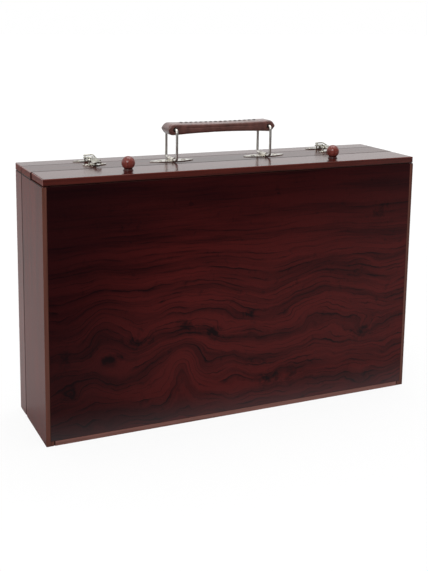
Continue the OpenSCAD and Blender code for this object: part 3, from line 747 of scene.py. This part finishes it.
def screw_tree():
    """Countersunk cross-slotted screws on points, spun at random and then turned by Turn."""
    tree, given = new_tree("cross-slotted screws", {
        "Head Radius": "Float", "Dome Height": "Float", "Shank Radius": "Float",
        "Length": "Float", "Slot Width": "Float", "Turn": "Vector", "Seed": "Int",
        "Material": "Material"})
    head_r, dome_h = given["Head Radius"], given["Dome Height"]
    shank_r, length = given["Shank Radius"], given["Length"]
    sink = add(tree, MATH, {0: head_r, 1: shank_r}, operation="SUBTRACT")
    ball = add(tree, "GeometryNodeMeshUVSphere", {"Segments": 24, "Rings": 12, "Radius": 1})
    squash = add(tree, COMBINE, {"X": head_r, "Y": head_r, "Z": dome_h})
    dome = add(tree, TRANSFORM, {"Geometry": ball, "Scale": squash})
    rest = add(tree, MATH, {0: length, 1: sink}, operation="SUBTRACT")
    lower = []
    for sides, wide, narrow, tall, down in ((24, head_r, shank_r, sink, sink),
                                            (16, shank_r, SCREW_TIP, rest, length)):
        cone = add(tree, "GeometryNodeMeshCone", {"Vertices": sides, "Radius Top": wide,
                                                  "Radius Bottom": narrow, "Depth": tall})
        foot = add(tree, COMBINE, {"Z": add(tree, MATH, {0: down, 1: -1}, operation="MULTIPLY")})
        lower.append(add(tree, TRANSFORM, {"Geometry": cone, "Translation": foot}))
    slot_w = given["Slot Width"]
    reach = add(tree, MATH, {0: head_r, 1: 1.15}, operation="MULTIPLY")
    depth = add(tree, MATH, {0: dome_h, 1: 3}, operation="MULTIPLY")
    bar = add(tree, "GeometryNodeMeshCube", {"Size": add(tree, COMBINE,
              {"X": reach, "Y": slot_w, "Z": depth})})
    across = add(tree, TRANSFORM, {"Geometry": bar, "Rotation": (0, 0, QUARTER)})
    both = add(tree, "GeometryNodeMeshBoolean", {1: bar}, operation="UNION")
    tree.links.new(across.outputs["Geometry"], both.inputs[1])
    cross = add(tree, TRANSFORM, {
        "Geometry": both, "Translation": add(tree, COMBINE, {"Z": dome_h})})
    head = add(tree, "GeometryNodeMeshBoolean", {0: dome, 1: cross}, operation="DIFFERENCE")
    whole = add(tree, "GeometryNodeJoinGeometry", {"Geometry": head})
    for part in lower:
        tree.links.new(part.outputs["Geometry"], whole.inputs["Geometry"])
    spin = add(tree, "FunctionNodeRandomValue", {
        "Min": (0, 0, 0), "Max": (0, 0, math.tau), "Seed": given["Seed"]},
        data_type="FLOAT_VECTOR")
    aimed = add(tree, "FunctionNodeRotateEuler", {
        "Rotation": spin, "Rotate By": given["Turn"]}, rotation_type="EULER", space="OBJECT")
    points = add(tree, "GeometryNodeMeshToPoints", {"Mesh": given["Geometry"]})
    many = add(tree, "GeometryNodeInstanceOnPoints",
               {"Points": points, "Instance": whole, "Rotation": aimed})
    real = add(tree, "GeometryNodeRealizeInstances", {"Geometry": many})
    plated = add(tree, "GeometryNodeSetMaterial", {
        "Geometry": real, "Material": given["Material"]})
    add(tree, "NodeGroupOutput", {"Geometry": plated})
    return tree


def islands(node):
    """The lowest and highest corner of each separate solid in a node."""
    shape = merged_copy(node)
    left = set(shape.verts)
    found = []
    while left:
        stack = [left.pop()]
        group = []
        while stack:
            vertex = stack.pop()
            group.append(vertex.co.copy())
            for e in vertex.link_edges:
                other = e.other_vert(vertex)
                if other in left:
                    left.discard(other)
                    stack.append(other)
        found.append((Vector(map(min, *group)), Vector(map(max, *group))))
    shape.free()
    return sorted(found, key=lambda pair: tuple(pair[0]))


screws = screw_tree()
SCREWS = {  # node: head radius, shank radius, length, dome height, turn, axis, side of the head
    "handle_screws": (2.8, 1.3, 6, 0.45, (0, 0, 0), 2, 1),
    "latch_base_screws": (1.9, 0.9, 6, 0.45, (0, 0, 0), 2, 1),
    "latch_strike_screws": (1.9, 0.9, 5, 0.45, (0, 0, 0), 2, 1),
    "hinge_case_screws": (1.9, 0.9, 9, 0.12, (-QUARTER, 0, 0), 1, 1),
    "hinge_lid_screws": (1.9, 0.9, 9, 0.12, (QUARTER, 0, 0), 1, -1),
}
FLUSH = 0.2  # mm: a lower dome than this is level with its plate
SLOT_SHARE = 0.28
FIRST_SEED = 11
for seed, (node, spec) in enumerate(SCREWS.items()):
    head_r, shank_r, length, dome_h, turn, axis, side = spec
    places = []
    for low, high in islands(node):
        spot = (low + high) / 2
        proud = dome_h * MM if dome_h > FLUSH else 0
        spot[axis] = (high if side > 0 else low)[axis] - side * proud
        places.append(spot)
    group = grow("cross_" + node, screws, {
        "Head Radius": head_r * MM, "Dome Height": dome_h * MM, "Shank Radius": shank_r * MM,
        "Length": length * MM, "Slot Width": SLOT_SHARE * head_r * MM, "Turn": turn,
        "Seed": seed + FIRST_SEED, "Material": screw_steel}, places)
    shade(group.data, SMOOTH)
    dress(group, body_of[node], "nickel", node)
    print(node, len(places), "screws,", len(group.data.polygons), "faces")
plate("knob_screws", screw_steel)

# %% [markdown]
# A knob is turned on a lathe: its shape is one outline spun round its axis. The outline is a
# flared foot, a short waist and most of a circle. The foot is darker: painted shade under the ball.

# %% Turned knobs
KNOB_SIDES = 48
BALL_STEPS = 22
FOOT = [  # radius and height in mm
    (4.9, 0.0), (4.9, 0.35), (4.6, 0.8), (4.15, 1.3), (3.95, 1.9), (4.05, 2.5)]
knob_wood = stained_wood("mahogany stained, turned", "Z", "#7d3b33", "#4a1d19", coat=0.8,
                         gloss=0.12, ring=3)
# painted shade: the knob's foot under the ball takes this darker sort
knob_foot_shade = stained_wood("mahogany stained, painted shade at the foot of a knob", "Z", "#451a16", "#280f0c", coat=0.5,
                         ring=3)
FOOT_TOP = 3.4 * MM


def turned(name, outline, centre, sides, *materials):
    """A shape of revolution about Z, closed at both ends on its axis."""
    shape = bmesh.new()
    bottom = shape.verts.new(centre + Vector((0, 0, outline[0][1])))
    top = shape.verts.new(centre + Vector((0, 0, outline[-1][1])))
    rows = []
    for radius, z in outline[:-1]:
        rows.append([shape.verts.new(centre + Vector((
            radius * math.cos(math.tau * i / sides), radius * math.sin(math.tau * i / sides), z)))
            for i in range(sides)])
    for i in range(sides):
        j = (i + 1) % sides
        shape.faces.new((bottom, rows[0][j], rows[0][i]))
        shape.faces.new((top, rows[-1][i], rows[-1][j]))
        for lower, upper in zip(rows, rows[1:]):
            shape.faces.new((lower[i], lower[j], upper[j], upper[i]))
    mesh = to_mesh(shape, name, *materials)
    shade(mesh, CREASED)
    return link(name, mesh)


for side in SIDES:
    low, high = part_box("knob_" + side)
    ball_r = (high.x - low.x) / 2
    centre_z = high.z - ball_r - low.z
    outline = [(r * MM, z * MM) for r, z in FOOT]
    start = -math.acos(FOOT[-1][0] * MM / ball_r)
    for i in range(1, BALL_STEPS + 1):
        angle = start + (QUARTER - start) * i / BALL_STEPS
        outline.append((ball_r * math.cos(angle), centre_z + ball_r * math.sin(angle)))
    base = Vector((*((low + high) / 2).xy, low.z))
    knob = turned("turned_knob_" + side, outline, base, KNOB_SIDES, knob_wood, knob_foot_shade)
    for polygon in knob.data.polygons:
        if polygon.center.z < low.z + FOOT_TOP:
            polygon.material_index = 1
    dress(knob, "drawer", "stained_frame", "knob_" + side)
print("knobs: 2, each", KNOB_SIDES * (len(outline) + 1), "faces")

# %% [markdown]
# The grip is a strip of leather over a core. Its ends are rolled round the wires and its middle is
# thinner, so from the side it looks like a shallow bone. It is made of cross-sections, one for each
# step along its length: a rounded rectangle with a shallow groove in front and behind, where the
# upper leather meets the lower. The rolls' sides are bored for the wires with a Boolean.

# %% Leather grip
GRIP_MID_T = 9.2 * MM
GRIP_LIFT = 0.5 * MM
GRIP_EDGE = 3 * MM
GRIP_NOSE = 0.3 * MM
GROOVE = 0.45 * MM
CREASE_DEPTH = 0.14 * MM
STEPS_ALONG = 140
ARC_STEPS = 7
grip_low, grip_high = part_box("grip")
grip_mid = (grip_low + grip_high) / 2
half_l = (grip_high.x - grip_low.x) / 2
half_w = (grip_high.y - grip_low.y) / 2
end_r = (grip_high.z - grip_low.z) / 2


def grip_heights(x):
    """Lowest and highest height of the grip at a distance x from its middle."""
    x_end = half_l - end_r
    if abs(x) > x_end:
        rise = math.sqrt(max(end_r ** 2 - (abs(x) - x_end) ** 2, 0))
        return -rise, rise
    swell = math.sin(math.acos(x / x_end)) ** 2
    under = end_r - GRIP_MID_T / 2 + GRIP_LIFT
    above = end_r - GRIP_MID_T / 2 - GRIP_LIFT
    return under * swell - end_r, end_r - above * swell


def grip_section(x):
    """Points of the cross-section at x, counter-clockwise seen from +X."""
    low, high = grip_heights(x)
    half_h = max((high - low) / 2, GRIP_NOSE)
    edge = min(GRIP_EDGE, half_h)
    middle = (low + high) / 2
    fade = max(0, 1 - (abs(x) / (half_l - 2.4 * end_r)) ** 6)  # no groove on the rolled ends
    cut = GROOVE * fade
    side = [(0.32, 0), (0.22, 0.35), (0.16, 1), (0.1, 0.35), (0, 0)]  # height, depth: shares
    points = []
    for corner, (sy, sz) in enumerate(((1, 1), (-1, 1), (-1, -1), (1, -1))):
        for i in range(ARC_STEPS + 1):
            angle = math.pi / 2 * (corner + i / ARC_STEPS)
            points.append((sy * (half_w - edge) + edge * math.cos(angle),
                           middle + sz * (half_h - edge) + edge * math.sin(angle)))
        if corner in (1, 3):
            order = side if corner == 1 else side[::-1]
            for share, depth in order:
                y = -half_w if corner == 1 else half_w
                points.append((y - math.copysign(cut * depth, y), middle + share * half_h))
        else:
            for i in range(1, 8):
                y = sy * (half_w - edge) * (1 - 2 * i / 8)
                points.append((y, middle + sz * half_h))
    return points


def leather_grip():
    """The grip's skin, with soft creases pressed into it."""
    shape = bmesh.new()
    rows = []
    for step in range(STEPS_ALONG + 1):
        x = -half_l * math.cos(math.pi * step / STEPS_ALONG)
        x = 0.9 * x + 0.1 * half_l * (2 * step / STEPS_ALONG - 1)  # closest at both ends
        row = []
        for y, z in grip_section(x):
            spot = grip_mid + Vector((x, y, z))
            crease = noise.noise(Vector((spot.x * 160, spot.y * 90, spot.z * 120)))
            push = CREASE_DEPTH * crease
            row.append(shape.verts.new(grip_mid + Vector((x, y * (1 - abs(push) / half_w),
                                                          z - abs(push)))))
        rows.append(row)
    count = len(rows[0])
    for one, two in zip(rows, rows[1:]):
        for i in range(count):
            j = (i + 1) % count
            shape.faces.new((one[i], two[i], two[j], one[j]))
    shape.faces.new(rows[0])
    shape.faces.new(rows[-1][::-1])
    bmesh.ops.recalc_face_normals(shape, faces=shape.faces)
    mesh = to_mesh(shape, "leather_grip", leather, cut_leather)
    mesh.shade_smooth()
    return link("leather_grip", mesh)


BORE = 2.3 * MM
BORE_DEPTH = 5 * MM
grip = leather_grip()
wire_x = (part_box("loop_right")[0].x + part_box("loop_right")[1].x) / 2
wire_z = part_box("loop_right")[1].z - LOOP_WIRE
drill_shape = bmesh.new()
for sx in (-1, 1):
    for sy in (-1, 1):
        spot = Vector((sx * wire_x, grip_mid.y + sy * half_w, wire_z))
        turn = Matrix.Translation(spot) @ Matrix.Rotation(QUARTER, 4, "X")
        bmesh.ops.create_cone(drill_shape, cap_ends=True, segments=28, radius1=BORE, radius2=BORE,
                              depth=2 * BORE_DEPTH, matrix=turn)
drill_mesh = to_mesh(drill_shape, "drill", leather, cut_leather)
for face in drill_mesh.polygons:
    face.material_index = 1
drill = link("drill", drill_mesh)
cut = grip.modifiers.new("bores", "BOOLEAN")
cut.object = drill
cut.operation = "DIFFERENCE"
cut.solver = "MANIFOLD"
settle(grip)
bpy.data.objects.remove(drill)
grip.data.set_sharp_from_angle(angle=CREASED)
dress(grip, "grip", "grip_leather", "grip")
print("grip:", len(grip.data.polygons), "faces")

# %% [markdown]
# A row of saddle stitches runs along the top of the grip. Each stitch is one short thread that dips
# into the leather at both ends. The tree takes a line, spreads points along it and puts a small
# capsule on each, turned a little by a seeded amount.

# %% Stitches


def stitch_tree():
    """Short threads on a line of points."""
    tree, given = new_tree("saddle stitches", {
        "Pitch": "Float", "Stitch Length": "Float", "Thread Radius": "Float", "Seed": "Int",
        "Material": "Material"})
    line = add(tree, "GeometryNodeMeshToCurve", {"Mesh": given["Geometry"]})
    points = add(tree, "GeometryNodeCurveToPoints", {"Curve": line, "Length": given["Pitch"]},
                 mode="LENGTH")
    ball = add(tree, "GeometryNodeMeshUVSphere", {"Segments": 10, "Rings": 6, "Radius": 1})
    half = add(tree, MATH, {0: given["Stitch Length"], 1: 0.5}, operation="MULTIPLY")
    size = add(tree, COMBINE, {
        "X": half, "Y": given["Thread Radius"], "Z": given["Thread Radius"]})
    stitch = add(tree, TRANSFORM, {"Geometry": ball, "Scale": size})
    sway = add(tree, "FunctionNodeRandomValue", {
        "Min": (-0.05, -0.06, -0.09), "Max": (0.05, 0.06, 0.09), "Seed": given["Seed"]},
        data_type="FLOAT_VECTOR")
    many = add(tree, "GeometryNodeInstanceOnPoints",
               {"Points": points, "Instance": stitch, "Rotation": sway})
    real = add(tree, "GeometryNodeRealizeInstances", {"Geometry": many})
    smooth = add(tree, "GeometryNodeSetShadeSmooth", {"Geometry": real})
    waxed = add(tree, "GeometryNodeSetMaterial", {
        "Geometry": smooth, "Material": given["Material"]})
    add(tree, "NodeGroupOutput", {"Geometry": waxed})
    return tree


STITCH_REACH = 41 * MM
STITCH_SIDE = 2.6 * MM
LINE_PARTS = 40
stitches = stitch_tree()
line = []
for i in range(LINE_PARTS + 1):
    x = STITCH_REACH * (2 * i / LINE_PARTS - 1)
    line.append(grip_mid + Vector((x, STITCH_SIDE, grip_heights(x)[1])))
row = grow("saddle_stitches", stitches, {
    "Pitch": 5.4 * MM, "Stitch Length": 3.9 * MM, "Thread Radius": 0.75 * MM, "Seed": 5,
    "Material": thread}, line, [(i, i + 1) for i in range(LINE_PARTS)])
dress(row, "grip", "grip_leather")
print("stitches:", len(row.data.polygons), "faces")

# %% [markdown]
# The case stands on a pale floor that keeps its shadow. To the camera the floor is a sheet of clear
# glass with a little white in it, before a white room, so that the background is plain white, the
# shadow is soft, and a lid that swings down past the foot of the case stays in sight. In reflections
# the floor is white beside and behind the case and darkens to the front and left, which keeps the
# large face deep in colour.

# %% Floor
FLOOR_REACH = 12.0
FLOOR_CLEAR = 0.88
FLOOR_DROP = 0.3 * MM
BRIGHTER = (0.9, 1, 0)  # the way along which its reflection gets brighter


def studio_floor():
    """A pale floor, mostly clear to the camera and white in its light."""
    material, tree = finish("pale studio floor")
    path = add(tree, "ShaderNodeLightPath").outputs
    place = add(tree, "ShaderNodeTexCoord").outputs["Object"]
    beside = add(tree, VECTOR, {0: place, 1: BRIGHTER}, operation="DOT_PRODUCT")
    near = add(tree, RAMP, {"Value": beside, "From Min": -0.5, "From Max": 0, "To Min": 0.08,
                            "To Max": 1})
    depth = add(tree, SEPARATE, {0: place}).outputs["Y"]
    behind = add(tree, RAMP, {"Value": depth, "From Min": -0.06, "From Max": -0.03})
    lit = add(tree, MATH, {0: near, 1: behind}, operation="MAXIMUM")
    seen = add(tree, MIX, {"Factor": path["Is Glossy Ray"], "A": 1.0, "B": lit})
    pale = add(tree, MIX, {"Factor": seen, "A": linear("#000000"), "B": linear("#e6e6e6")},
               data_type="RGBA")
    matt = add(tree, "ShaderNodeBsdfDiffuse", {"Color": pale})
    away = add(tree, VECTOR, {0: place}, operation="LENGTH")
    lift = add(tree, RAMP, {"Value": away, "From Min": 0.25, "From Max": 2, "To Min": 0.15,
                            "To Max": 1})
    glow = add(tree, "ShaderNodeEmission", {"Color": (1, 1, 1, 1), "Strength":
               add(tree, MATH, {0: path["Is Camera Ray"], 1: lift}, operation="MULTIPLY")})
    both = add(tree, "ShaderNodeAddShader", {0: matt, 1: glow})
    clear = add(tree, MATH, {0: path["Is Camera Ray"], 1: FLOOR_CLEAR,
                             2: path["Is Shadow Ray"]}, operation="MULTIPLY_ADD")
    glass = add(tree, "ShaderNodeMixShader", {
        0: clear, 1: both, 2: add(tree, "ShaderNodeBsdfTransparent")})
    add(tree, OUTPUT, {"Surface": glass})
    mesh = bpy.data.meshes.new("floor")
    corners = [(-1, -1), (1, -1), (1, 1), (-1, 1)]
    mesh.from_pydata([(x * FLOOR_REACH, y * FLOOR_REACH, -FLOOR_DROP) for x, y in corners], [],
                     [(0, 1, 2, 3)])
    mesh.materials.append(material)
    return link("floor", mesh)


studio_floor()

# %% [markdown]
# The room is white to the camera. In reflections it is white behind and above the case and dim
# towards the camera, which gives the nickel its dark sides and keeps the large face deep in colour.
# Below the horizon it gives no light, because the floor lets light through. Two soft boxes do the
# rest, at a level at which a colour renders about as it is written.

# %% Room and lamps


def studio_room():
    """White to the camera; in reflections white behind and above, and dim towards the camera."""
    world = bpy.data.worlds.new("white studio")
    bpy.context.scene.world = world
    world.use_nodes = True
    tree = world.node_tree
    tree.nodes.clear()
    path = add(tree, "ShaderNodeLightPath").outputs
    direction = add(tree, "ShaderNodeTexCoord").outputs["Generated"]
    toward = add(tree, VECTOR, {0: direction, 1: (-0.1, 0.75, 0.65)}, operation="DOT_PRODUCT")
    room = add(tree, RAMP, {"Value": toward, "From Min": -0.35, "From Max": 0.35,
                            "To Min": 0.12, "To Max": 1.0}, interpolation_type="SMOOTHSTEP")
    shiny = add(tree, MATH, {0: path["Is Glossy Ray"],
                             1: path["Is Transmission Ray"]}, operation="MAXIMUM")
    fill = add(tree, MIX, {"Factor": shiny, "A": 0.55, "B": room})
    height = add(tree, SEPARATE, {"Vector": direction}).outputs["Z"]
    above = add(tree, MATH, {0: height, 1: 0}, operation="GREATER_THAN")
    lit = add(tree, MATH, {0: fill, 1: above}, operation="MULTIPLY")
    level = add(tree, MIX, {"Factor": path["Is Camera Ray"], "A": lit, "B": 1.0})
    sky = add(tree, "ShaderNodeBackground", {"Color": (1, 1, 1, 1), "Strength": level})
    add(tree, "ShaderNodeOutputWorld", {"Surface": sky})


def lamp(name, place, target, size, power):
    """A soft square lamp that looks at a target."""
    light = bpy.data.lights.new(name, "AREA")
    light.shape = "SQUARE"
    light.size = size
    light.energy = power
    thing = bpy.data.objects.new(name, light)
    bpy.context.scene.collection.objects.link(thing)
    thing.location = place
    aim = Vector(target) - Vector(place)
    thing.rotation_euler = aim.to_track_quat("-Z", "Y").to_euler()
    return thing


studio_room()
centre = (0, 0, 0.13)
lamp("softbox left of the camera", (-1.5, -1.9, 1.6), centre, 1.4, 32)
lamp("softbox overhead", (0.3, 0.4, 2.3), centre, 1.8, 30)
print("studio: floor, room and 2 softboxes")

# %% [markdown]
# The scene stays in the colours that are written, so the Standard view is used.

# %% Finish
bpy.context.scene.view_settings.view_transform = "Standard"
